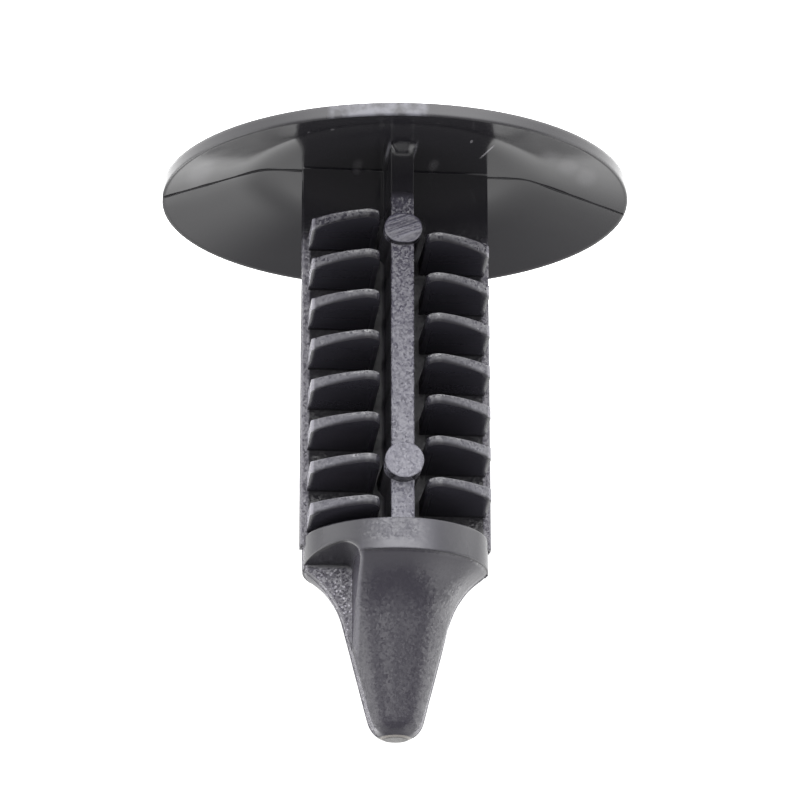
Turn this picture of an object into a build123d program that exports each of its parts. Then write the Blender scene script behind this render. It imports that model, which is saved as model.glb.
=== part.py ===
from build123d import *
from math import atan, cos, degrees, radians, sin, tan
import os

# Push-in trim clip, moulded in one piece, in millimetres.
# The clip stands on the flat centre of its head with the stem pointing up along +Z.
# The origin is the centre of the head's outer face, and the mould parts at the plane y = 0.

# Head: a thin umbrella that opens towards the panel
head_diameter = 20.0
head_flat_diameter = 9.6
head_centre_thickness = 1.0
rim_thickness = 0.57
underside_flat_diameter = 11.5
underside_slope = 19.2
head_bend_radius = 3.0

# Stem: a flat web in the parting plane with a rib across its middle
web_width = 7.98
web_thickness = 0.8
web_past_collar_edge = 0.29
web_edge_rounding = 0.08
rib_width = 0.96
rib_reach = 3.2
rib_edge_rounding = 0.08
core_fillet = 0.18

# Foot: a low sloping step that spreads the stem on the head's underside, hollow at its four corners
foot_height = 0.33
foot_web_margin = 0.05
foot_rib_margin = 0.15
foot_front_margin = 0.5
foot_hollow_radius = 2.8
foot_end_rounding = 0.45

# Fins: thin wedges on both faces of the web, the two sides half a pitch apart
fin_count = 8
fin_pitch = 1.787
first_fin_height = 4.15
fin_stagger = 0.95
fin_span = 7.5
fin_reach = 4.12
fin_arc_radius = 5.0
fin_edge_thickness = 0.37
fin_root_thickness = 0.66
fin_outer_corner_radius = 0.16
fin_inner_corner_radius = 0.5
rib_slot_width = 0.5

# Ejector pads on the rib, one near the head and one near the collar
head_pad_height = 1.3
head_pad_stretch = 0.29
head_pad_reach = 3.5
head_pad_place = 4.8
collar_pad_height = 1.5
collar_pad_stretch = 0.1
collar_pad_reach = 3.85
collar_pad_place = 15.1

# Collar and nose: turned form that leads the stem into the hole
collar_diameter = 7.74
collar_bottom = 17.56
collar_thickness = 1.31
nose_step = 0.05
shoulder_length = 0.03
shoulder_slope = 54.2
shoulder_radius = 0.36
throat_radius = 3.77
cone_diameter = 5.1
cone_end_diameter = 1.89
dome_radius = 1.0
tip_height = 25.95
gate_cut_depth = 0.055

# Pockets: one hollow each side of the parting plane, at opposite corners of the nose
pocket_boss_width = 3.68
pocket_wall_draft = 2.7
pocket_sink = 0.15
pocket_end_draft = 8.0
pocket_floor_corner_radius = 0.25
pocket_mouth_corner_radius = 1.2

# How far pieces are sunk into each other before they are joined, and how close is the same place
joint_overlap = 0.3
match_gap = 0.005

# Parts of a straight that the roundings at its two ends may take up
shoulder_part = 0.12
throat_part = 0.87
dome_part = 0.95


def revolved(outline, radii):
    """Turns an outline of (radius, height) points about Z; each inner corner has its radius."""
    with BuildPart() as turned:
        with BuildSketch(Plane.XZ):
            with BuildLine():
                FilletPolyline(*outline, radius=radii)
                Line(outline[-1], outline[0])
            make_face()
        revolve(axis=Axis.Z)
    return turned.part


def make_head():
    """Umbrella head: flat centre, sloping skirt, thin rim."""
    head_radius = head_diameter / 2
    underside_flat_radius = underside_flat_diameter / 2
    skirt_rise = (head_radius - underside_flat_radius) * tan(radians(underside_slope))
    rim_top = head_centre_thickness + skirt_rise
    outline = [
        (0, 0),
        (head_flat_diameter / 2, 0),
        (head_radius, rim_top - rim_thickness),
        (head_radius, rim_top),
        (underside_flat_radius, head_centre_thickness),
        (0, head_centre_thickness),
    ]
    return revolved(outline, [head_bend_radius, 0, 0, head_bend_radius])


def make_core():
    """Web and rib: a cross-shaped bar that runs from inside the head to the collar."""
    core_bottom = head_centre_thickness - joint_overlap
    with BuildPart() as core:
        with BuildSketch(Plane.XY.offset(core_bottom)):
            RectangleRounded(web_width, web_thickness, web_edge_rounding)
        extrude(amount=collar_bottom + web_past_collar_edge - core_bottom)
        with BuildSketch(Plane.XY.offset(core_bottom)):
            RectangleRounded(rib_width, 2 * rib_reach, rib_edge_rounding)
        extrude(amount=collar_bottom + joint_overlap - core_bottom)
        fillet(inner_corners(core.edges()), core_fillet)
    return core.part


def inner_corners(edges):
    """The four upright edges where the rib meets the web."""
    return [
        edge
        for edge in edges.filter_by(Axis.Z)
        if abs(abs(edge.center().X) - rib_width / 2) < match_gap
        and abs(abs(edge.center().Y) - web_thickness / 2) < match_gap
    ]


def make_foot():
    """Step between the head's underside and the stem: a cross with hollow corners, bevelled all round."""
    rib_side = rib_width / 2 + foot_rib_margin
    rib_end = rib_reach + foot_front_margin
    web_side = web_thickness / 2 + foot_web_margin
    with BuildPart() as foot:
        with BuildSketch(Plane.XY.offset(head_centre_thickness - joint_overlap)) as plan:
            Rectangle(web_width, 2 * web_side)
            Rectangle(2 * rib_side, 2 * rib_end)
            corners = plan.vertices()
            rib_ends = [corner for corner in corners if abs(abs(corner.Y) - rib_end) < match_gap]
            hollows = [corner for corner in corners if abs(abs(corner.X) - rib_side) < match_gap]
            hollows = [corner for corner in hollows if abs(corner.Y) < rib_end - match_gap]
            fillet(rib_ends, foot_end_rounding)
            fillet(hollows, foot_hollow_radius)
        extrude(amount=joint_overlap + foot_height)
        chamfer(foot.faces().sort_by(Axis.Z)[-1].edges(), foot_height)
    return foot.part


def fin_outline():
    """Plan of one fin: a piece of a round disc between its inner end and its flat side."""
    inner_end = rib_width / 2 + rib_slot_width
    outer_side = fin_span / 2
    root = -web_thickness / 2 + joint_overlap
    with BuildSketch() as plan:
        with Locations((0, fin_arc_radius - fin_reach)):
            Circle(fin_arc_radius)
        with Locations(((inner_end + outer_side) / 2, root)):
            Rectangle(
                outer_side - inner_end,
                2 * fin_reach,
                align=(Align.CENTER, Align.MAX),
                mode=Mode.INTERSECT,
            )
        outer_corner = plan.vertices().group_by(Axis.X)[-1].sort_by(Axis.Y)[0]
        fillet(outer_corner, fin_outer_corner_radius)
        inner_corner = plan.vertices().group_by(Axis.X)[0].sort_by(Axis.Y)[0]
        fillet(inner_corner, fin_inner_corner_radius)
    return plan.sketch


def make_fin():
    """One wedge-shaped fin on the front face of the web, thin at its edge."""
    root = -web_thickness / 2
    edge = -fin_reach
    draft = (fin_root_thickness - fin_edge_thickness) / (root - edge)
    buried = fin_root_thickness + draft * joint_overlap
    wedge_outline = [
        (edge, 0),
        (edge, fin_edge_thickness),
        (root + joint_overlap, buried),
        (root + joint_overlap, 0),
    ]
    with BuildPart() as fin:
        with BuildSketch(Plane.YZ):
            Polygon(*wedge_outline, align=None)
        extrude(amount=fin_span)
        slab = extrude(fin_outline(), amount=buried, mode=Mode.PRIVATE)
        add(slab, mode=Mode.INTERSECT)
    return fin.part


def fin_row(fin, first_height, count):
    """Equal fins one pitch apart."""
    return [Pos(0, 0, first_height + fin_pitch * step) * fin for step in range(count)]


def make_fins():
    """Front fins: the full row on the +X side and the staggered, shorter row on the -X side."""
    right_fin = make_fin()
    left_fin = mirror(right_fin, about=Plane.YZ)
    full_row = fin_row(right_fin, first_fin_height, fin_count)
    short_row = fin_row(left_fin, first_fin_height + fin_stagger, fin_count - 1)
    return full_row + short_row


def make_pad(height, stretch, reach, place):
    """One ejector pad: a boss with round ends that stands on the web and passes the rib."""
    with BuildPart() as pad:
        with BuildSketch(Plane.XZ):
            with Locations((0, place)):
                SlotCenterToCenter(stretch, height)
        extrude(amount=reach)
    return pad.part


def make_collar():
    """Round collar that closes the stem."""
    collar_base = (Align.CENTER, Align.CENTER, Align.MIN)
    return Pos(0, 0, collar_bottom) * Cylinder(collar_diameter / 2, collar_thickness, align=collar_base)


def make_nose():
    """Turned nose: shoulder, hollow throat, cone and a dome whose top is the flat cut of the gate."""
    collar_top = collar_bottom + collar_thickness
    base_radius = collar_diameter / 2 - nose_step
    cone_radius = cone_diameter / 2
    end_radius = cone_end_diameter / 2
    shoulder_height = collar_top + shoulder_length
    slope_length = (base_radius - cone_radius) / sin(radians(shoulder_slope))
    throat_height = shoulder_height + slope_length * cos(radians(shoulder_slope))
    dome_height = tip_height + gate_cut_depth
    cone_slope = degrees(atan((cone_radius - end_radius) / (dome_height - throat_height)))
    outline = [
        (0, collar_top - joint_overlap),
        (base_radius, collar_top - joint_overlap),
        (base_radius, shoulder_height),
        (cone_radius, throat_height),
        (end_radius, dome_height),
        (0, dome_height),
    ]
    radii = [
        0,
        fitting_radius(shoulder_radius, shoulder_part * slope_length, shoulder_slope),
        fitting_radius(throat_radius, throat_part * slope_length, shoulder_slope - cone_slope),
        fitting_radius(dome_radius, dome_part * end_radius, 90 - cone_slope),
    ]
    return split(revolved(outline, radii), bisect_by=Plane.XY.offset(tip_height), keep=Keep.BOTTOM)


def fitting_radius(radius, straight, turn):
    """The radius, kept to what fits on this straight where the outline turns by this angle."""
    return min(radius, straight / tan(radians(turn / 2)))


def pocket_section(depth, corner):
    """Section of the pocket at this depth in front of its floor, with its one rounded corner."""
    wall = pocket_boss_width / 2 - depth * tan(radians(pocket_wall_draft))
    end = collar_bottom + collar_thickness - pocket_sink - depth * tan(radians(pocket_end_draft))
    with BuildSketch(Plane.XZ.offset(web_thickness / 2 + depth)) as section:
        with Locations((wall, end)):
            Rectangle(collar_diameter, tip_height - end, align=Align.MIN)
        fillet(section.vertices().group_by(Axis.Y)[0].sort_by(Axis.X)[0], corner)
    return section.sketch


def make_pocket():
    """Hollow beside the boss of the nose, from the web plane out to the front, on the +X side."""
    floor = pocket_section(0, pocket_floor_corner_radius)
    mouth = pocket_section(collar_diameter / 2, pocket_mouth_corner_radius)
    return loft([floor, mouth], ruled=True)


def turned_round(shape):
    """The same shape on the opposite corner, half a turn about Z."""
    return Rot(0, 0, 180) * shape


def make_clip():
    """The whole clip as one solid."""
    pads = [
        make_pad(head_pad_height, head_pad_stretch, head_pad_reach, head_pad_place),
        make_pad(collar_pad_height, collar_pad_stretch, collar_pad_reach, collar_pad_place),
    ]
    pocket = make_pocket()
    nose = make_collar() + make_nose() - pocket - turned_round(pocket)
    front_fins = make_fins()
    on_both_faces = pads + front_fins
    on_both_faces += [turned_round(piece) for piece in on_both_faces]
    return make_head() + make_foot() + make_core() + nose + on_both_faces


os.makedirs("parts", exist_ok=True)
clip = make_clip()
clip.label = "push_clip"
export_step(clip, "parts/push_clip.step")
print("solids", len(clip.solids()), "volume", round(clip.volume, 2), "box", clip.bounding_box())
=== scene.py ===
import bpy
from math import cos, radians, sin, tan
from types import SimpleNamespace
from mathutils import Matrix, Vector


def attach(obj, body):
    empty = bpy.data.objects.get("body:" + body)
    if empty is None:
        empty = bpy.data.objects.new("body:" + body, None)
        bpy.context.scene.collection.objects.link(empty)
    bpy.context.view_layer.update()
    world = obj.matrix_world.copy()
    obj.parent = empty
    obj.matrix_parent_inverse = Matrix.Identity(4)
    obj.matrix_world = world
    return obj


# A black moulded push-in trim clip, standing on its head.
# Blender works in metres. Every size here is in millimetres until it is multiplied by MM.
MM = 0.001

# The clip's own sizes, as in the part's source
HEAD_RADIUS = 10.0
HEAD_CENTRE_TOP = 1.0
UNDERSIDE_SLOPE = 19.2
WEB_HALF_WIDTH = 3.99
WEB_FACE = 0.4
RIB_FACE = 3.2
PAD_HALF_WIDTH = 0.8
HEAD_PAD_PLACE = 4.8
COLLAR_BOTTOM = 17.56
COLLAR_TOP = 18.87
BOSS_SIDE = 1.84
TIP = 25.95
FIRST_FIN = 4.15
FIN_STAGGER = 0.95
FIN_PITCH = 1.787
FIN_REACH = 4.12

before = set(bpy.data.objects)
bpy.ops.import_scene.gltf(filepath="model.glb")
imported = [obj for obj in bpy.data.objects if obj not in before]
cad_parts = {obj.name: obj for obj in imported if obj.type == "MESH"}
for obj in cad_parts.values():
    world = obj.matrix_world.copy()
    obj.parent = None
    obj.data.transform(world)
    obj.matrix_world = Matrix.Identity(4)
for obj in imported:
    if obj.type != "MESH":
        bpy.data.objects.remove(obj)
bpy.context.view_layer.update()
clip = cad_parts["push_clip"]


def linear(hex_colour):
    """An sRGB hex colour as the linear colour that a socket takes."""
    channels = []
    for start in (1, 3, 5):
        value = int(hex_colour[start:start + 2], 16) / 255
        channels.append(value / 12.92 if value <= 0.04045 else ((value + 0.055) / 1.055) ** 2.4)
    return (*channels, 1.0)


def add_node(tree, kind, settings=None, **inputs):
    """Adds one node, sets its properties, and sets or links its inputs by name or number."""
    node = tree.nodes.new(kind)
    for name, value in (settings or {}).items():
        setattr(node, name, value)
    for name, value in inputs.items():
        socket = node.inputs[int(name[1:])] if name[0] == "_" else node.inputs[name.replace("_", " ")]
        if isinstance(value, bpy.types.NodeSocket):
            tree.links.new(value, socket)
        else:
            socket.default_value = value
    return node


def blank_tree(owner):
    """The owner's node tree, emptied."""
    owner.use_nodes = True
    owner.node_tree.nodes.clear()
    return owner.node_tree


# Masks and values that change from place to place

SMOOTH = {"interpolation_type": "SMOOTHSTEP"}


def zone(tree, along, start, end, blend):
    """1 from start to end along one direction of the part and 0 beyond, with soft ends, in millimetres."""
    ends = []
    for place, before, after in ((start, 0.0, 1.0), (end, 1.0, 0.0)):
        ends.append(add_node(
            tree, "ShaderNodeMapRange", SMOOTH, Value=along,
            From_Min=(place - blend) * MM, From_Max=(place + blend) * MM, To_Min=before, To_Max=after,
        ).outputs["Result"])
    return overlap(tree, *ends)


def overlap(tree, *masks):
    """Where all of these masks are: the product of their strengths."""
    shared = masks[0]
    for mask in masks[1:]:
        shared = add_node(tree, "ShaderNodeMath", {"operation": "MULTIPLY"}, _0=shared, _1=mask).outputs["Value"]
    return shared


def either(tree, *masks):
    """Where any of these masks is: the greatest of their strengths."""
    strongest = masks[0]
    for mask in masks[1:]:
        strongest = add_node(
            tree, "ShaderNodeMath", {"operation": "MAXIMUM"}, _0=strongest, _1=mask
        ).outputs["Value"]
    return strongest


def layered(tree, value, *layers):
    """The value, with each layer's own value laid over it where the layer's mask is."""
    for mask, laid in layers:
        value = add_node(tree, "ShaderNodeMapRange", Value=mask, To_Min=value, To_Max=laid).outputs["Result"]
    return value


def painted(tree, tone, *coats):
    """The tone, with each coat's colour over it where the coat's mask is."""
    for mask, colour in coats:
        tone = add_node(tree, "ShaderNodeMix", {"data_type": "RGBA"}, _0=mask, _6=tone, _7=colour).outputs[2]
    return tone


# Zones of the clip: where each starts and ends, and half the width of its soft ends
BEYOND = 60.0
STEM = (3.3, BEYOND, 0.3)
NOSE = (COLLAR_TOP, BEYOND, 0.15)
BELOW_COLLAR = (-BEYOND, COLLAR_BOTTOM, 0.05)
PAST_FIRST_FIN = (FIRST_FIN + 0.3, BEYOND, 0.6)
WEB_MARGINS = (WEB_HALF_WIDTH - 0.3, BEYOND, 0.06)
WEB_SKIN = (-BEYOND, WEB_FACE + 0.08, 0.04)
PAD_WIDTH = (-BEYOND, PAD_HALF_WIDTH + 0.05, 0.05)
RIB_FRONT = (RIB_FACE - 0.2, BEYOND, 0.1)
PAD_FRONT = (RIB_FACE + 0.2, BEYOND, 0.03)
HEAD_PAD = (HEAD_PAD_PLACE - 0.7, HEAD_PAD_PLACE + 0.7, 0.03)
COLLAR = (COLLAR_BOTTOM, COLLAR_TOP, 0.05)
COLLAR_FRONT = (WEB_FACE + 0.2, BEYOND, 0.1)
GLITTER_ACROSS = (-0.4, 1.7, 0.4)
GLITTER_UP = (-BEYOND, COLLAR_TOP - 0.45, 0.2)
FINS_ACROSS = (PAD_HALF_WIDTH + 0.12, BEYOND, 0.03)
FINS_FORWARD = (WEB_FACE + 0.2, BEYOND, 0.05)
FIN_OUTER_CORNER = (3.4, BEYOND, 0.1)
FIN_END_FACE = (3.64, BEYOND, 0.05)
FIN_BEFORE_END = (-BEYOND, 3.6, 0.1)
FIN_PAST_LIGHT = (0.0, BEYOND, 0.09)
RIM_HIGHLIGHT_ACROSS = (1.0, 2.6, 0.5)
BETWEEN_FINS_ACROSS = (PAD_HALF_WIDTH, WEB_HALF_WIDTH - 0.3, 0.04)
BETWEEN_FINS_FORWARD = (-BEYOND, WEB_FACE + 0.35, 0.05)
SLOT_ACROSS = (0.3, 1.2, 0.1)
SLOT_FORWARD = (-BEYOND, RIB_FACE - 0.15, 0.1)
BESIDE_BOSS = (BOSS_SIDE - 0.5, BOSS_SIDE + 0.3, 0.1)
POCKET_END_ACROSS = (BOSS_SIDE - 0.5, BOSS_SIDE + 1.4, 0.2)
POCKET_END_UP = (COLLAR_TOP - 0.6, COLLAR_TOP + 0.2, 0.1)
RIDGE_ACROSS = (BOSS_SIDE - 0.22, BOSS_SIDE + 0.02, 0.06)
RIDGE_FORWARD = (WEB_FACE + 0.3, BEYOND, 0.1)
RIDGE_UP = (COLLAR_TOP, 24.2, 0.6)
GLINTS_UP = (COLLAR_TOP, 22.4, 0.4)
GATE_CUT = (TIP - 0.01, BEYOND, 0.005)
GATE_LIP_HIGHLIGHT = (TIP - 0.07, TIP - 0.01, 0.02)
FOOT_END_AWAY = (RIB_FACE - 0.1, RIB_FACE + 0.7, 0.1)
FOOT_END_ACROSS = (-BEYOND, 0.8, 0.1)
FOOT_END_UP = (0.9, 1.6, 0.05)
FOOT_BEVEL_ACROSS = (0.53, 0.63, 0.04)
FOOT_BEVEL_FORWARD = (1.9, 3.5, 0.6)
FOOT_BEVEL_UP = (-BEYOND, 1.4, 0.05)
RIM_EDGE = (HEAD_RADIUS - 0.6, BEYOND, 0.1)
RIM_SIDE = (9.93, BEYOND, 0.02)
PALE_RIM_FRONT = (-BEYOND, -9.2, 0.05)
PALE_RIM_ACROSS = (-0.3, 3.6, 0.15)
SCRATCH_BESIDE = (-0.035, 0.035, 0.03)
SCRATCH_UP = (-BEYOND, 1.2, 0.05)
SCRATCH_BLEND = 0.25
# The bend where the head's underside leaves its flat centre
BEND_START = 4.6
BEND_END = 7.0
BEND_AWAY = (BEND_START, BEND_END + 0.5, 0.2)
BEND_UP = (-BEYOND, 2.2, 0.1)


def surface_place(tree):
    """Sockets that say where on the clip a point is, and which way its surface faces."""
    coordinates = add_node(tree, "ShaderNodeTexCoord").outputs
    along = add_node(tree, "ShaderNodeSeparateXYZ", Vector=coordinates["Object"]).outputs
    flat = add_node(tree, "ShaderNodeCombineXYZ", X=along["X"], Y=along["Y"]).outputs["Vector"]
    sizes = []
    for axis in (along["X"], along["Y"]):
        sizes.append(add_node(tree, "ShaderNodeMath", {"operation": "ABSOLUTE"}, _0=axis).outputs["Value"])
    return SimpleNamespace(
        place=coordinates["Object"],
        x=along["X"],
        y=along["Y"],
        height=along["Z"],
        across=sizes[0],
        forward=sizes[1],
        flat=flat,
        away=add_node(tree, "ShaderNodeVectorMath", {"operation": "LENGTH"}, _0=flat).outputs["Value"],
        facing=add_node(tree, "ShaderNodeSeparateXYZ", Vector=coordinates["Normal"]).outputs,
    )


# How much of the collar is eroded grain, from its middle outwards
COLLAR_GRAIN_START = 0.3
COLLAR_GRAIN_END = 2.2
COLLAR_GRAIN_MOST = 0.5
COLLAR_GRAIN_LEAST = 0.12
# Width of the light part of a fin's rim at the fin's middle, and how fast it grows towards the outer end
FIN_LIGHT_PART = 0.2
FIN_LIGHT_GROWTH = 0.15
FIN_LIGHT_LENGTH = 2.0
# How much grain a fin's rim has, from its inner to its outer end
FIN_GRAIN_START = 1.4
FIN_GRAIN_END = 3.0
FIN_GRAIN_LEAST = 0.25
FIN_GRAIN_MOST = 0.5
# A face counts as a side while its normal rises less than the first figure, and as flat past the second
SIDE_RISE = 0.5
FLAT_RISE = 0.85
FLAT_FACE_PART = 0.08


def fin_masks(tree, at, fins, pocketed):
    """How far above its head side a fin's surface is, where its rim's tip side gets painted shade, and how grained it
    is.
    """
    # The row beside a pocket starts lower, and the other is half a pitch above it
    first = layered(tree, (FIRST_FIN + FIN_STAGGER) * MM, (pocketed, FIRST_FIN * MM))
    up_the_fin = add_node(
        tree, "ShaderNodeMath", {"operation": "SUBTRACT"}, _0=at.height, _1=first
    ).outputs["Value"]
    up_the_fin = add_node(
        tree, "ShaderNodeMath", {"operation": "FLOORED_MODULO"}, _0=up_the_fin, _1=FIN_PITCH * MM
    ).outputs["Value"]

    # The rim's tip side is given painted shade, dark and without grain, most where the fin reaches furthest
    light_part = add_node(
        tree, "ShaderNodeMapRange", Value=at.forward,
        From_Min=(FIN_REACH - FIN_LIGHT_LENGTH) * MM, From_Max=FIN_REACH * MM,
        To_Min=(FIN_LIGHT_PART + FIN_LIGHT_LENGTH * FIN_LIGHT_GROWTH) * MM, To_Max=FIN_LIGHT_PART * MM,
    ).outputs["Result"]
    past_light = add_node(
        tree, "ShaderNodeMath", {"operation": "SUBTRACT"}, _0=up_the_fin, _1=light_part
    ).outputs["Value"]
    painted_dark_tip_side = overlap(
        tree, zone(tree, past_light, *FIN_PAST_LIGHT), fins, zone(tree, at.across, *FIN_BEFORE_END)
    )
    grain = add_node(
        tree, "ShaderNodeMapRange", Value=at.across, From_Min=FIN_GRAIN_START * MM, From_Max=FIN_GRAIN_END * MM,
        To_Min=FIN_GRAIN_LEAST, To_Max=FIN_GRAIN_MOST,
    ).outputs["Result"]
    grain = layered(tree, overlap(tree, grain, fins), (painted_dark_tip_side, 0.0))
    return up_the_fin, painted_dark_tip_side, grain


def finish_masks(tree, at):
    """Masks of the clip's forms, by the finish that the mould's steel gave them."""
    stem = zone(tree, at.height, *STEM)
    nose = zone(tree, at.height, *NOSE)
    below_collar = zone(tree, at.height, *BELOW_COLLAR)
    past_first_fin = zone(tree, at.height, *PAST_FIRST_FIN)
    fins = overlap(
        tree, zone(tree, at.across, *FINS_ACROSS), zone(tree, at.forward, *FINS_FORWARD), below_collar, stem
    )
    corner = add_node(tree, "ShaderNodeMath", {"operation": "MULTIPLY"}, _0=at.x, _1=at.y).outputs["Value"]
    pocketed = add_node(tree, "ShaderNodeMath", {"operation": "LESS_THAN"}, _0=corner, _1=0.0).outputs["Value"]
    up_the_fin, painted_dark_tip_side, fin_grain = fin_masks(tree, at, fins, pocketed)

    # The steel was eroded where it formed the web's margins, the pockets' floors, the rib, its pads and the collar
    web_face = overlap(
        tree, zone(tree, at.forward, *WEB_SKIN), either(tree, zone(tree, at.across, *WEB_MARGINS), nose),
        past_first_fin,
    )
    rib_face = overlap(
        tree, zone(tree, at.across, *PAD_WIDTH), zone(tree, at.forward, *RIB_FRONT), below_collar
    )
    collar = add_node(
        tree, "ShaderNodeMapRange", SMOOTH, Value=at.across,
        From_Min=COLLAR_GRAIN_START * MM, From_Max=COLLAR_GRAIN_END * MM,
        To_Min=COLLAR_GRAIN_MOST, To_Max=COLLAR_GRAIN_LEAST,
    ).outputs["Result"]
    collar = overlap(tree, collar, zone(tree, at.height, *COLLAR))
    rise = add_node(tree, "ShaderNodeMath", {"operation": "ABSOLUTE"}, _0=at.facing["Z"]).outputs["Value"]
    sideways = add_node(
        tree, "ShaderNodeMapRange", SMOOTH, Value=rise, From_Min=SIDE_RISE, From_Max=FLAT_RISE,
        To_Min=1.0, To_Max=FLAT_FACE_PART,
    ).outputs["Result"]
    stem_side = overlap(tree, stem, sideways)
    gate_cut = zone(tree, at.height, *GATE_CUT)
    dull = overlap(tree, either(tree, web_face, rib_face, collar, fin_grain), stem_side)

    # The ridges round the nose's two pockets
    pocket_end = overlap(
        tree, zone(tree, at.across, *POCKET_END_ACROSS), zone(tree, at.height, *POCKET_END_UP)
    )
    ridge = either(tree, overlap(tree, nose, zone(tree, at.across, *BESIDE_BOSS)), pocket_end)
    return SimpleNamespace(
        stem=stem,
        nose=nose,
        below_collar=below_collar,
        past_first_fin=past_first_fin,
        fins=fins,
        up_the_fin=up_the_fin,
        painted_dark_tip_side=painted_dark_tip_side,
        web_dull=overlap(tree, web_face, stem_side),
        sideways=sideways,
        stem_side=stem_side,
        gate_cut=gate_cut,
        dull=either(tree, dull, gate_cut),
        ridge=overlap(tree, ridge, pocketed),
        between_fins=overlap(
            tree, zone(tree, at.across, *BETWEEN_FINS_ACROSS), zone(tree, at.forward, *BETWEEN_FINS_FORWARD),
            below_collar,
        ),
        head_pad=overlap(
            tree, zone(tree, at.forward, *PAD_FRONT), zone(tree, at.height, *HEAD_PAD), rib_face
        ),
    )


# Radius of the softened edges on each form
POLISHED_EDGE_ROUNDING = 0.05
STEM_EDGE_ROUNDING = 0.11
RIDGE_ROUNDING = 0.3
FIN_ROUNDING = 0.05
FIN_CORNER_ROUNDING = 0.3
BETWEEN_FINS_ROUNDING = 0.01
FOOT_ROUNDING = 0.3
RIM_ROUNDING = 0.22
EDGE_SAMPLES = 8
# How far the crown of a fin's rim leans back along its head side, and where it starts and ends
FIN_ROLL = 0.3
FIN_CROWN_START = 0.06
FIN_CROWN_END = 0.18
# A face this much upright or more counts as the head's underside
UNDERSIDE_RISE = 0.9


def worn_edges(tree, at, form):
    """Normal with all outer edges worn a little soft, most round the nose's pockets and the head's rim."""
    fin_rounding = layered(
        tree, FIN_ROUNDING * MM, (zone(tree, at.across, *FIN_OUTER_CORNER), FIN_CORNER_ROUNDING * MM)
    )
    foot_end = overlap(
        tree, zone(tree, at.away, *FOOT_END_AWAY), zone(tree, at.across, *FOOT_END_ACROSS),
        zone(tree, at.height, *FOOT_END_UP),
    )
    rounding = layered(
        tree, POLISHED_EDGE_ROUNDING * MM,
        (form.stem, STEM_EDGE_ROUNDING * MM),
        (form.ridge, RIDGE_ROUNDING * MM),
        (form.fins, fin_rounding),
        (form.between_fins, BETWEEN_FINS_ROUNDING * MM),
        (foot_end, FOOT_ROUNDING * MM),
        (zone(tree, at.away, *RIM_EDGE), RIM_ROUNDING * MM),
    )
    return add_node(tree, "ShaderNodeBevel", {"samples": EDGE_SAMPLES}, Radius=rounding).outputs["Normal"]


def soft_bend(tree, at, normal):
    """Normal with a longer, softer bend under the head than the solid's arc."""
    outwards = add_node(tree, "ShaderNodeVectorMath", {"operation": "NORMALIZE"}, _0=at.flat).outputs["Vector"]
    lean = add_node(
        tree, "ShaderNodeMapRange", SMOOTH, Value=at.away, From_Min=BEND_START * MM, From_Max=BEND_END * MM,
        To_Min=0.0, To_Max=-tan(radians(UNDERSIDE_SLOPE)),
    ).outputs["Result"]
    lean = add_node(tree, "ShaderNodeVectorMath", {"operation": "SCALE"}, _0=outwards, Scale=lean).outputs["Vector"]
    lean = add_node(
        tree, "ShaderNodeVectorMath", {"operation": "ADD"}, _0=lean, _1=(0.0, 0.0, 1.0)
    ).outputs["Vector"]
    lean = add_node(tree, "ShaderNodeVectorMath", {"operation": "NORMALIZE"}, _0=lean).outputs["Vector"]
    upwards = add_node(
        tree, "ShaderNodeMath", {"operation": "GREATER_THAN"}, _0=at.facing["Z"], _1=UNDERSIDE_RISE
    ).outputs["Value"]
    underside = overlap(tree, zone(tree, at.away, *BEND_AWAY), zone(tree, at.height, *BEND_UP), upwards)
    return add_node(
        tree, "ShaderNodeMix", {"data_type": "VECTOR"}, _0=underside, _4=normal, _5=lean
    ).outputs[1]


def crowned_rims(tree, form, normal):
    """Normal with each fin's rim rolled back along its head side, where it catches the light."""
    crown = add_node(
        tree, "ShaderNodeMapRange", SMOOTH, Value=form.up_the_fin,
        From_Min=FIN_CROWN_START * MM, From_Max=FIN_CROWN_END * MM, To_Min=FIN_ROLL, To_Max=0.0,
    ).outputs["Result"]
    crown = overlap(tree, crown, form.fins, form.sideways)
    crown = add_node(tree, "ShaderNodeCombineXYZ", Z=crown).outputs["Vector"]
    crowned = add_node(tree, "ShaderNodeVectorMath", {"operation": "ADD"}, _0=normal, _1=crown).outputs["Vector"]
    return add_node(tree, "ShaderNodeVectorMath", {"operation": "NORMALIZE"}, _0=crowned).outputs["Vector"]


# Width of one pit of the spark eroded grain, which is nearer 0.05 mm but would not show
GRAIN_WIDTH = 0.11
GRAIN_DEPTH = 0.025
# The pits on the nose are broader and softer
NOSE_GRAIN_WIDTH = 0.2
# How deep the pits are on each finish, as a part of the grain's depth
STEM_PITS = 0.12
NOSE_PITS = 0.19
DULL_PITS = 0.75
SMOOTH_COLLAR_PITS = 0.12
HEAD_PAD_PITS = 0.1
# Facets of the grain, and how far they tilt where the pits are deepest
FACET_WIDTH = 0.09
FACET_TILT = 1.1
# Scores left on the pads nearest the head, and their slope in degrees
PAD_SCORE_SLOPE = 22.0
PAD_SCORE_LENGTH = 2.6
PAD_SCORE_WIDTH = 0.15
# Noise value where a score starts to pale and where it is palest, and how pale it is there
PAD_SCORE_START = 0.45
PAD_SCORE_FULL = 0.7
PAD_SCORE_PALE = 0.35


def pin_scores(tree, at):
    """Slanting scores, left by the steel pin that pushed the clip out of the mould."""
    along = add_node(
        tree, "ShaderNodeMapping", {"vector_type": "TEXTURE"}, Vector=at.place,
        Rotation=(0.0, -radians(PAD_SCORE_SLOPE), 0.0),
        Scale=(PAD_SCORE_LENGTH * MM, PAD_SCORE_LENGTH * MM, PAD_SCORE_WIDTH * MM),
    ).outputs["Vector"]
    return add_node(tree, "ShaderNodeTexNoise", Vector=along, Scale=1.0, Detail=1.5).outputs["Fac"]


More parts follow.
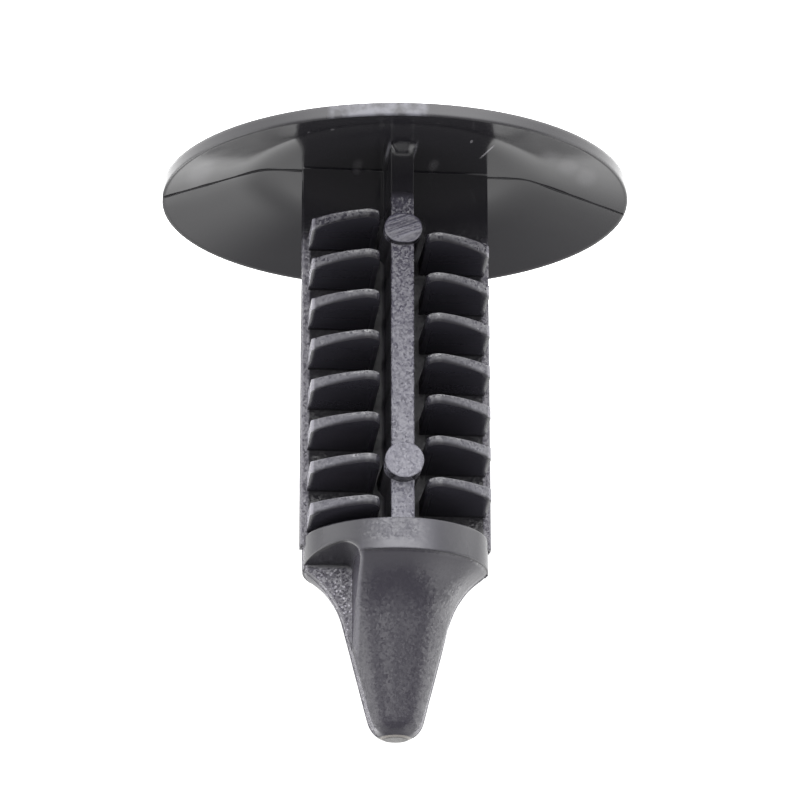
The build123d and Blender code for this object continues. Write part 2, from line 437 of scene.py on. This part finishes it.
def eroded_grain(tree, at, form, scores, normal):
    """Normal with the pits of the erosion: deep on the dull faces, softer on the nose, shallow elsewhere."""
    fine_grit = add_node(
        tree, "ShaderNodeTexNoise", Vector=at.place, Scale=1 / (GRAIN_WIDTH * MM), Detail=2.0, Roughness=0.55
    ).outputs["Fac"]
    broad_grit = add_node(
        tree, "ShaderNodeTexNoise", Vector=at.place, Scale=1 / (NOSE_GRAIN_WIDTH * MM), Detail=1.0
    ).outputs["Fac"]
    grit = layered(tree, fine_grit, (form.nose, broad_grit), (form.dull, fine_grit))

    # Most of the collar is smooth, beside one glittering patch at its front
    glitter_patch = overlap(tree, zone(tree, at.x, *GLITTER_ACROSS), zone(tree, at.height, *GLITTER_UP))
    smooth_collar = layered(tree, zone(tree, at.height, *COLLAR), (glitter_patch, 0.0))
    smooth_collar = overlap(tree, smooth_collar, zone(tree, at.forward, *COLLAR_FRONT))
    pits = overlap(
        tree,
        layered(tree, STEM_PITS, (form.nose, NOSE_PITS), (form.dull, DULL_PITS)),
        form.stem_side,
        layered(tree, 1.0, (smooth_collar, SMOOTH_COLLAR_PITS)),
        layered(tree, 1.0, (form.head_pad, HEAD_PAD_PITS)),
    )
    grain = add_node(
        tree, "ShaderNodeMath", {"operation": "ADD"},
        _0=overlap(tree, grit, pits), _1=overlap(tree, scores, form.head_pad),
    ).outputs["Value"]
    pitted = add_node(
        tree, "ShaderNodeBump", Strength=1.0, Distance=GRAIN_DEPTH * MM, Height=grain, Normal=normal
    ).outputs["Normal"]

    # Each facet of the grain is tilted its own way, so that it glitters
    facets = add_node(
        tree, "ShaderNodeTexVoronoi", Vector=at.place, Scale=1 / (FACET_WIDTH * MM)
    ).outputs["Color"]
    tilt = add_node(
        tree, "ShaderNodeVectorMath", {"operation": "SUBTRACT"}, _0=facets, _1=(0.5, 0.5, 0.5)
    ).outputs["Vector"]
    tilt = add_node(
        tree, "ShaderNodeVectorMath", {"operation": "SCALE"}, _0=tilt, Scale=overlap(tree, pits, FACET_TILT)
    ).outputs["Vector"]
    tilted = add_node(tree, "ShaderNodeVectorMath", {"operation": "ADD"}, _0=pitted, _1=tilt).outputs["Vector"]
    return add_node(tree, "ShaderNodeVectorMath", {"operation": "NORMALIZE"}, _0=tilted).outputs["Vector"]


# Marks of handling, painted highlights and painted sheen on the head's underside: place, radius and strength of each
# speck, and the ends of the one scratch. The first four specks are marks of handling, the next two are painted
# highlights in the hollows beside the foot, and the last four, broad ones on the skirt are painted sheen
SPECKS_AND_SHEEN = [
    (4.12, -4.73, 1.18, 0.08, 0.6),
    (3.12, -4.84, 1.05, 0.1, 0.3),
    (-2.84, -4.01, 1.0, 0.08, 0.6),
    (-1.14, -6.56, 1.32, 0.06, 0.4),
    (1.69, -0.9, 1.05, 0.3, 0.16),
    (-1.55, -1.18, 1.05, 0.3, 0.2),
    (8.47, -1.91, 2.03, 0.8, 0.22),
    (-6.1, -3.9, 1.75, 0.6, 0.2),
    (-7.02, -3.39, 1.75, 0.6, 0.2),
    (-7.9, -2.8, 1.9, 0.6, 0.2),
]
# The specks are longer from front to back than across, and full to this part of their radius
SPECK_STRETCH = 3.0
SPECK_CORE = 0.3
SCRATCH_START = Vector((-3.47, -2.3, 1.0))
SCRATCH_END = Vector((-3.83, -3.6, 1.0))


def marks_and_painted_sheen(tree, at):
    """Mask of the pale specks, painted highlights and painted sheen, and the one scratch, on the head's underside
    beside the stem.
    """
    run = SCRATCH_END - SCRATCH_START
    length = run.length
    run = run / length
    from_start = add_node(
        tree, "ShaderNodeVectorMath", {"operation": "SUBTRACT"}, _0=at.place, _1=SCRATCH_START * MM
    ).outputs["Vector"]
    along, beside = (
        add_node(
            tree, "ShaderNodeVectorMath", {"operation": "DOT_PRODUCT"}, _0=from_start, _1=direction
        ).outputs["Value"]
        for direction in (run, (-run.y, run.x, 0.0))
    )
    marks = overlap(
        tree, zone(tree, along, 0.0, length, SCRATCH_BLEND), zone(tree, beside, *SCRATCH_BESIDE),
        zone(tree, at.height, *SCRATCH_UP),
    )
    squeezed = add_node(
        tree, "ShaderNodeVectorMath", {"operation": "MULTIPLY"}, _0=at.place, _1=(1.0, 1 / SPECK_STRETCH, 1.0)
    ).outputs["Vector"]
    for x, y, z, radius, strength in SPECKS_AND_SHEEN:
        away = add_node(
            tree, "ShaderNodeVectorMath", {"operation": "DISTANCE"},
            _0=squeezed, _1=(x * MM, y * MM / SPECK_STRETCH, z * MM),
        ).outputs["Value"]
        speck = add_node(
            tree, "ShaderNodeMapRange", SMOOTH, Value=away,
            From_Min=SPECK_CORE * radius * MM, From_Max=radius * MM, To_Min=strength, To_Max=0.0,
        ).outputs["Result"]
        marks = either(tree, marks, speck)
    return marks


# Height over which the grain's tone is painted lighter from the head towards the tip, as painted light: more light
# reaches the grain away from the head
GRAIN_DARK_END = 6.0
GRAIN_PALE_START = 15.0
# Space between the glints on the floors of the nose's pockets, and how strongly they are drawn
GLINT_SPACING = 0.17
GLINT_CORE = 0.14
GLINT_EDGE = 0.34
GLINT_STRENGTH = 0.75
# Width of the pale blotches painted on one length of the head's rim
BLOTCH_WIDTH = 0.5
# Noise value where a blotch starts and where it is full, and how pale the rim is painted beside and in the blotches
BLOTCH_START = 0.35
BLOTCH_FULL = 0.6
BESIDE_BLOTCHES = 0.1
IN_BLOTCHES = 0.55


def skin_tone(tree, at, form, scores):
    """Colour of the nylon, with its grain, its paler blotches and marks of handling, and painted light: painted
    highlights, painted sheen and tones painted lighter where more light falls.
    """
    # The grain is painted lighter towards the tip, as painted light where more light reaches it
    grain_lit_towards_tip = add_node(
        tree, "ShaderNodeMapRange", Value=at.height, From_Min=GRAIN_DARK_END * MM, From_Max=GRAIN_PALE_START * MM
    ).outputs["Result"]
    grain_tone = painted(tree, linear("#413F49"), (grain_lit_towards_tip, linear("#5A5962")))
    # The fins' flat faces are painted a lighter black, as painted light where little light reaches between the fins
    fin_faces_painted_lighter = add_node(
        tree, "ShaderNodeMapRange", Value=form.sideways, From_Min=FLAT_FACE_PART, To_Min=form.fins, To_Max=0.0
    ).outputs["Result"]

    # The glints of the pockets' coarse grain are drawn as pale dots
    glints = add_node(
        tree, "ShaderNodeTexVoronoi", Vector=at.place, Scale=1 / (GLINT_SPACING * MM)
    ).outputs["Distance"]
    glints = add_node(
        tree, "ShaderNodeMapRange", SMOOTH, Value=glints, From_Min=GLINT_CORE, From_Max=GLINT_EDGE,
        To_Min=GLINT_STRENGTH, To_Max=0.0,
    ).outputs["Result"]
    glints = overlap(tree, glints, form.web_dull, zone(tree, at.height, *GLINTS_UP))
    # The ridge beside each pocket is painted lighter, as a painted highlight on its rounding
    ridge_painted_highlight = overlap(
        tree, zone(tree, at.across, *RIDGE_ACROSS), zone(tree, at.forward, *RIDGE_FORWARD), form.ridge,
        zone(tree, at.height, *RIDGE_UP),
    )
    # The outer end faces of the fins are painted pale grey, as a painted highlight
    to_the_side = add_node(tree, "ShaderNodeMath", {"operation": "ABSOLUTE"}, _0=at.facing["X"]).outputs["Value"]
    fin_end_painted_highlight = overlap(tree, zone(tree, at.across, *FIN_END_FACE), form.fins, to_the_side)
    scored = add_node(
        tree, "ShaderNodeMapRange", Value=scores, From_Min=PAD_SCORE_START, From_Max=PAD_SCORE_FULL,
        To_Min=0.0, To_Max=PAD_SCORE_PALE,
    ).outputs["Result"]

    # One length of the head's rim is painted paler in blotches
    blotches = add_node(
        tree, "ShaderNodeTexNoise", Vector=at.place, Scale=1 / (BLOTCH_WIDTH * MM), Detail=2.0
    ).outputs["Fac"]
    blotches = add_node(
        tree, "ShaderNodeMapRange", Value=blotches, From_Min=BLOTCH_START, From_Max=BLOTCH_FULL,
        To_Min=BESIDE_BLOTCHES, To_Max=IN_BLOTCHES,
    ).outputs["Result"]
    paler_rim_blotches = overlap(
        tree, blotches, zone(tree, at.y, *PALE_RIM_FRONT), zone(tree, at.x, *PALE_RIM_ACROSS),
        zone(tree, at.away, *RIM_SIDE),
    )

    # The marks, painted highlights and painted sheen, and the painted highlights on the foot's bevels, are not on the
    # head's outer face, which looks down
    inner_side = add_node(
        tree, "ShaderNodeMath", {"operation": "GREATER_THAN"}, _0=at.facing["Z"], _1=0.0
    ).outputs["Value"]
    foot_painted_highlights = overlap(
        tree, zone(tree, at.across, *FOOT_BEVEL_ACROSS), zone(tree, at.forward, *FOOT_BEVEL_FORWARD),
        zone(tree, at.height, *FOOT_BEVEL_UP), inner_side,
    )
    return painted(
        tree, linear("#1E1D21"),
        (form.dull, grain_tone),
        (layered(tree, form.nose, (form.dull, 0.0)), linear("#1E1B25")),
        (fin_faces_painted_lighter, linear("#2A292F")),
        (form.web_dull, linear("#5A585F")),
        (glints, linear("#A9A6B0")),
        (ridge_painted_highlight, linear("#3C3A42")),
        (fin_end_painted_highlight, linear("#7A7880")),
        (overlap(tree, scored, form.head_pad), linear("#605E6C")),
        (paler_rim_blotches, linear("#6C6C74")),
        # Marks of handling, with painted highlights and painted sheen among them
        (overlap(tree, marks_and_painted_sheen(tree, at), inner_side), linear("#8C8A8E")),
        # Painted highlights along the foot's bevels
        (foot_painted_highlights, linear("#5A595E")),
        (form.gate_cut, linear("#343231")),
        # A painted highlight along the lip of the gate cut
        (zone(tree, at.height, *GATE_LIP_HIGHLIGHT), linear("#7C7874")),
    )


# Roughness of each finish
POLISHED_ROUGHNESS = 0.15
STEM_ROUGHNESS = 0.2
NOSE_ROUGHNESS = 0.32
DULL_ROUGHNESS = 0.22
SLOT_ROUGHNESS = 0.5
# Clouds of this width vary it by this much up or down, from the lower to the higher of these noise values
CLOUD_WIDTH = 1.6
CLOUD_STRENGTH = 0.03
CLOUD_LOW = 0.3
CLOUD_HIGH = 0.7
# Specular level, which is 0.5 for plain nylon, where the surface is given painted shade and hardly shines, and where
# a painted highlight runs along each fin's rim
PLAIN_SHINE = 0.5
SHADOW_SHINE = 0.1
RIM_HIGHLIGHT_SHINE = 1.1
RIM_HIGHLIGHT_START = 0.06
RIM_HIGHLIGHT_END = 0.16
# How far these lose their shine as painted shade, where 1 is wholly: the web at the bottom of a slot, and the web
# between the fins
SLOT_WEB_PART = 0.65
BETWEEN_FINS_PART = 0.7
NYLON_IOR = 1.53


def skin_gloss(tree, at, form):
    """Roughness and specular level of the nylon."""
    cloud = add_node(
        tree, "ShaderNodeTexNoise", Vector=at.place, Scale=1 / (CLOUD_WIDTH * MM), Detail=3.0
    ).outputs["Fac"]
    cloudy = add_node(
        tree, "ShaderNodeMapRange", Value=cloud, From_Min=CLOUD_LOW, From_Max=CLOUD_HIGH,
        To_Min=-CLOUD_STRENGTH, To_Max=CLOUD_STRENGTH,
    ).outputs["Result"]
    roughness = layered(
        tree, POLISHED_ROUGHNESS,
        (form.stem, STEM_ROUGHNESS), (form.nose, NOSE_ROUGHNESS), (form.dull, DULL_ROUGHNESS),
    )
    roughness = add_node(tree, "ShaderNodeMath", {"operation": "ADD"}, _0=roughness, _1=cloudy).outputs["Value"]

    # The narrow slots beside the rib hardly shine, as painted shade in them
    wall = add_node(tree, "ShaderNodeMath", {"operation": "ABSOLUTE"}, _0=at.facing["X"]).outputs["Value"]
    slot = overlap(
        tree, zone(tree, at.across, *SLOT_ACROSS), zone(tree, at.forward, *SLOT_FORWARD), form.below_collar,
        form.stem, layered(tree, SLOT_WEB_PART, (wall, 1.0)),
    )
    between_fins = overlap(tree, form.between_fins, form.past_first_fin, BETWEEN_FINS_PART)
    shadow = either(tree, slot, form.painted_dark_tip_side, between_fins)
    # A painted highlight of extra shine runs along the head side of each fin's rim
    painted_rim_highlight = add_node(
        tree, "ShaderNodeMapRange", SMOOTH, Value=form.up_the_fin,
        From_Min=RIM_HIGHLIGHT_START * MM, From_Max=RIM_HIGHLIGHT_END * MM, To_Min=1.0, To_Max=0.0,
    ).outputs["Result"]
    painted_rim_highlight = overlap(tree, painted_rim_highlight, form.fins, zone(tree, at.across, *RIM_HIGHLIGHT_ACROSS))
    shine = layered(tree, PLAIN_SHINE, (shadow, SHADOW_SHINE), (painted_rim_highlight, RIM_HIGHLIGHT_SHINE))
    return layered(tree, roughness, (slot, SLOT_ROUGHNESS)), shine


def moulded_nylon():
    """Black polyamide 66, injection moulded: deep neutral black with a wet gloss where the steel
    was polished under the head and on the fins, and a dull glittering grey where the faces of web,
    rib and collar were spark eroded."""
    material = bpy.data.materials.new("moulded_black_nylon")
    tree = blank_tree(material)
    at = surface_place(tree)
    form = finish_masks(tree, at)
    scores = pin_scores(tree, at)
    normal = crowned_rims(tree, form, soft_bend(tree, at, worn_edges(tree, at, form)))
    roughness, shine = skin_gloss(tree, at, form)
    skin = add_node(
        tree, "ShaderNodeBsdfPrincipled", Base_Color=skin_tone(tree, at, form, scores), IOR=NYLON_IOR,
        Specular_IOR_Level=shine, Roughness=roughness, Normal=eroded_grain(tree, at, form, scores, normal),
    )
    add_node(tree, "ShaderNodeOutputMaterial", Surface=skin.outputs["BSDF"])
    return material


nylon = moulded_nylon()
clip.data.materials.clear()
clip.data.materials.append(nylon)


# The mould parts at y = 0: a line on each side of the stem under the head, and one up each side of stem and nose.
# The lines on the head run in from its edge to the web, and rays look down on them from just above the rim.
HEAD_LINE_HEIGHT = 0.055
HEAD_LINE_POINTS = 90
HEAD_LINE_START = HEAD_RADIUS - 0.05
HEAD_LINE_END = WEB_HALF_WIDTH + 0.03
HEAD_LINE_RAYS = 3.4
# The lines on the stem run up from the foot to the tip, and rays look in at them from just beside the stem
STEM_LINE_HEIGHT = 0.025
STEM_LINE_POINTS = 260
STEM_LINE_START = HEAD_CENTRE_TOP + 0.45
STEM_LINE_END = TIP - 0.12
STEM_LINE_RAYS = 6.0
RAY_LENGTH = 12.0
LINE_SIDES = 10
# A line swells and thins at random over this length, between these parts of its height and these noise values
SWELL_LENGTH = 1.3
THINNEST = 0.7
THICKEST = 1.25
SWELL_LOW = 0.35
SWELL_HIGH = 0.65


def witness_line_tree():
    """A thin raised line laid on the clip where the two halves of the mould met."""
    tree = bpy.data.node_groups.new("witness_line", "GeometryNodeTree")
    tree.is_modifier = True
    for name, kind in (
        ("Clip", "NodeSocketObject"),
        ("Start", "NodeSocketVector"),
        ("End", "NodeSocketVector"),
        ("Towards Clip", "NodeSocketVector"),
        ("Height", "NodeSocketFloat"),
        ("Points", "NodeSocketInt"),
        ("Material", "NodeSocketMaterial"),
    ):
        tree.interface.new_socket(name=name, in_out="INPUT", socket_type=kind)
    tree.interface.new_socket(name="Line", in_out="OUTPUT", socket_type="NodeSocketGeometry")
    given = add_node(tree, "NodeGroupInput").outputs
    shape = add_node(tree, "GeometryNodeObjectInfo", Object=given["Clip"]).outputs["Geometry"]
    run = add_node(tree, "GeometryNodeCurvePrimitiveLine", Start=given["Start"], End=given["End"]).outputs["Curve"]
    run = add_node(tree, "GeometryNodeResampleCurve", Curve=run, Count=given["Points"]).outputs["Curve"]
    landing = add_node(
        tree, "GeometryNodeRaycast", Target_Geometry=shape, Ray_Direction=given["Towards Clip"],
        Ray_Length=RAY_LENGTH * MM,
    )
    run = add_node(
        tree, "GeometryNodeSetPosition", Geometry=run, Selection=landing.outputs["Is Hit"],
        Position=landing.outputs["Hit Position"],
    ).outputs["Geometry"]
    uneven = add_node(tree, "ShaderNodeTexNoise", Scale=1 / (SWELL_LENGTH * MM), Detail=1.0).outputs["Fac"]
    swell = add_node(
        tree, "ShaderNodeMapRange", Value=uneven, From_Min=SWELL_LOW, From_Max=SWELL_HIGH,
        To_Min=THINNEST, To_Max=THICKEST,
    ).outputs["Result"]
    section = add_node(
        tree, "GeometryNodeCurvePrimitiveCircle", Resolution=LINE_SIDES, Radius=given["Height"]
    ).outputs["Curve"]
    bead = add_node(
        tree, "GeometryNodeCurveToMesh", Curve=run, Profile_Curve=section, Scale=swell, Fill_Caps=True
    ).outputs["Mesh"]
    bead = add_node(tree, "GeometryNodeRealizeInstances", Geometry=bead).outputs["Geometry"]
    bead = add_node(tree, "GeometryNodeSetMaterial", Geometry=bead, Material=given["Material"]).outputs["Geometry"]
    add_node(tree, "NodeGroupOutput", Line=bead)
    return tree


def lay_witness_line(name, tree, **sizes):
    """Runs the tree once, and keeps what it makes as a plain mesh that rides on the clip."""
    carrier = bpy.data.objects.new(name + "_maker", bpy.data.meshes.new(name + "_maker"))
    bpy.context.scene.collection.objects.link(carrier)
    maker = carrier.modifiers.new("line", "NODES")
    maker.node_group = tree
    for item in tree.interface.items_tree:
        if item.in_out == "INPUT":
            maker[item.identifier] = sizes[item.name.lower().replace(" ", "_")]
    bpy.context.view_layer.update()
    settled = carrier.evaluated_get(bpy.context.evaluated_depsgraph_get())
    mesh = bpy.data.meshes.new_from_object(settled)
    carrier.modifiers.clear()
    bpy.data.objects.remove(carrier)
    line = bpy.data.objects.new(name, mesh)
    mesh.name = name
    bpy.context.scene.collection.objects.link(line)
    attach(line, "root")


line_tree = witness_line_tree()
for side, place in ((1, "left"), (-1, "right")):
    lay_witness_line(
        "witness_line_head_" + place, line_tree, clip=clip, material=nylon,
        points=HEAD_LINE_POINTS, height=HEAD_LINE_HEIGHT * MM,
        start=Vector((side * HEAD_LINE_START, 0, HEAD_LINE_RAYS)) * MM,
        end=Vector((side * HEAD_LINE_END, 0, HEAD_LINE_RAYS)) * MM,
        towards_clip=(0.0, 0.0, -1.0),
    )
    lay_witness_line(
        "witness_line_stem_" + place, line_tree, clip=clip, material=nylon,
        points=STEM_LINE_POINTS, height=STEM_LINE_HEIGHT * MM,
        start=Vector((side * STEM_LINE_RAYS, 0, STEM_LINE_START)) * MM,
        end=Vector((side * STEM_LINE_RAYS, 0, STEM_LINE_END)) * MM,
        towards_clip=(-float(side), 0.0, 0.0),
    )


# Half the side of the table, in metres
TABLE_HALF = 1.5
# Glow of the table all over, and of each round patch above its lamps: x, y, inner and outer radius, glow
TABLE_GLOW = 1.3
TABLE_PATCHES = [
    (0, 0, 15, 25, 1.28),
    (0, -20, 6, 16, 2.13),
    (0, -50, 15, 40, 1.03),
    (0, -150, 60, 120, 5.36),
    (50, -10, 15, 40, 1.55),
    (-50, -10, 15, 40, 1.28),
]


def lit_table():
    """White opal acrylic over a lamp box: plain white all over, with softly brighter patches over its lamps."""
    material = bpy.data.materials.new("lit_opal_acrylic")
    tree = blank_tree(material)
    place = add_node(tree, "ShaderNodeTexCoord").outputs["Object"]
    total = TABLE_GLOW
    for x, y, inner, outer, glow in TABLE_PATCHES:
        away = add_node(
            tree, "ShaderNodeVectorMath", {"operation": "DISTANCE"}, _0=place, _1=(x * MM, y * MM, 0.0)
        ).outputs["Value"]
        patch = add_node(
            tree, "ShaderNodeMapRange", SMOOTH, Value=away,
            From_Min=inner * MM, From_Max=outer * MM, To_Min=glow, To_Max=0.0,
        ).outputs["Result"]
        total = add_node(tree, "ShaderNodeMath", {"operation": "ADD"}, _0=patch, _1=total).outputs["Value"]
    lit = add_node(tree, "ShaderNodeEmission", Color=linear("#FFFFFF"), Strength=total)
    add_node(tree, "ShaderNodeOutputMaterial", Surface=lit.outputs["Emission"])
    return material


def make_floor():
    """One flat square under the clip."""
    half = TABLE_HALF
    mesh = bpy.data.meshes.new("table_top")
    mesh.from_pydata([(-half, -half, 0), (half, -half, 0), (half, half, 0), (-half, half, 0)], [], [(0, 1, 2, 3)])
    floor = bpy.data.objects.new("table_top", mesh)
    bpy.context.scene.collection.objects.link(floor)
    mesh.materials.append(lit_table())


# Glow of the tent all round, and of each soft panel on it: degrees from the front towards +X, height, glow
TENT_GLOW = 0.516
TENT_PANELS = [
    (0, 25, 0.81),
    (30, 0, 3.2),
    (60, 0, 0.77),
    (90, 0, 2.87),
    (90, 25, 1.0),
    (90, 50, 1.2),
    (120, 0, 1.1),
    (135, 25, 3.44),
    (180, 0, 0.43),
    (180, 25, 0.07),
    (210, 0, 0.75),
    (225, 25, 1.23),
    (240, 0, 2.13),
    (270, 0, 2.56),
    (270, 25, 0.51),
    (270, 50, 2.01),
    (300, 0, 0.31),
    (330, 0, 1.85),
    (0, 88, 0.89),
]
# A panel is full to the first of these angles from its middle, and ends at the second, in degrees
PANEL_CORE = 3.0
PANEL_REACH = 28.0


def towards(turn, rise):
    """Direction from the clip, turned from the front towards +X and raised, both in radians."""
    return Vector((sin(turn) * cos(rise), -cos(turn) * cos(rise), sin(rise)))


def light_the_room():
    """A dim cloth tent round the table with soft lamp panels behind it."""
    world = bpy.data.worlds.new("light_tent")
    bpy.context.scene.world = world
    tree = blank_tree(world)
    way = add_node(tree, "ShaderNodeTexCoord").outputs["Generated"]
    total = TENT_GLOW
    for turn, rise, glow in TENT_PANELS:
        near = add_node(
            tree, "ShaderNodeVectorMath", {"operation": "DOT_PRODUCT"}, _0=way,
            _1=towards(radians(turn), radians(rise)),
        ).outputs["Value"]
        panel = add_node(
            tree, "ShaderNodeMapRange", SMOOTH, Value=near,
            From_Min=cos(radians(PANEL_REACH)), From_Max=cos(radians(PANEL_CORE)), To_Min=0.0, To_Max=glow,
        ).outputs["Result"]
        total = add_node(tree, "ShaderNodeMath", {"operation": "ADD"}, _0=panel, _1=total).outputs["Value"]
    lit = add_node(tree, "ShaderNodeBackground", Color=linear("#FFFFFF"), Strength=total)
    add_node(tree, "ShaderNodeOutputWorld", Surface=lit.outputs["Background"])


# The photograph's camera: its turn, rise and roll in radians, fitted to the clip's outlines
CAMERA_TURN = 0.1048
CAMERA_RISE = 0.3203
CAMERA_ROLL = 0.00142
CAMERA_AIM = Vector((-0.212, 0.0, 11.259)) * MM
CAMERA_DISTANCE = 149.5
SENSOR_WIDTH = 36.0
# Focal length in pixels of the photograph, which is this many pixels wide
FOCAL_PIXELS = 3535
PHOTO_WIDTH = 800
# Nearest that the camera sees, in metres
CAMERA_NEAREST = 0.005


def place_camera():
    """The photograph's view: from in front and above, a long lens, turned upside down."""
    back = towards(CAMERA_TURN, CAMERA_RISE)
    right = Vector((cos(CAMERA_TURN), sin(CAMERA_TURN), 0.0))
    up = back.cross(right)
    right_rolled = -(right * cos(CAMERA_ROLL) - up * sin(CAMERA_ROLL))
    up_rolled = -(right * sin(CAMERA_ROLL) + up * cos(CAMERA_ROLL))
    data = bpy.data.cameras.new("camera")
    data.sensor_width = SENSOR_WIDTH
    data.sensor_height = SENSOR_WIDTH
    data.sensor_fit = "HORIZONTAL"
    data.lens = SENSOR_WIDTH * FOCAL_PIXELS / PHOTO_WIDTH
    data.clip_start = CAMERA_NEAREST
    camera = bpy.data.objects.new("camera", data)
    bpy.context.scene.collection.objects.link(camera)
    axes = Matrix((right_rolled, up_rolled, back)).transposed().to_4x4()
    camera.matrix_world = Matrix.Translation(CAMERA_AIM + back * CAMERA_DISTANCE * MM) @ axes
    bpy.context.scene.camera = camera


make_floor()
light_the_room()
place_camera()
bpy.context.scene.view_settings.view_transform = "Standard"
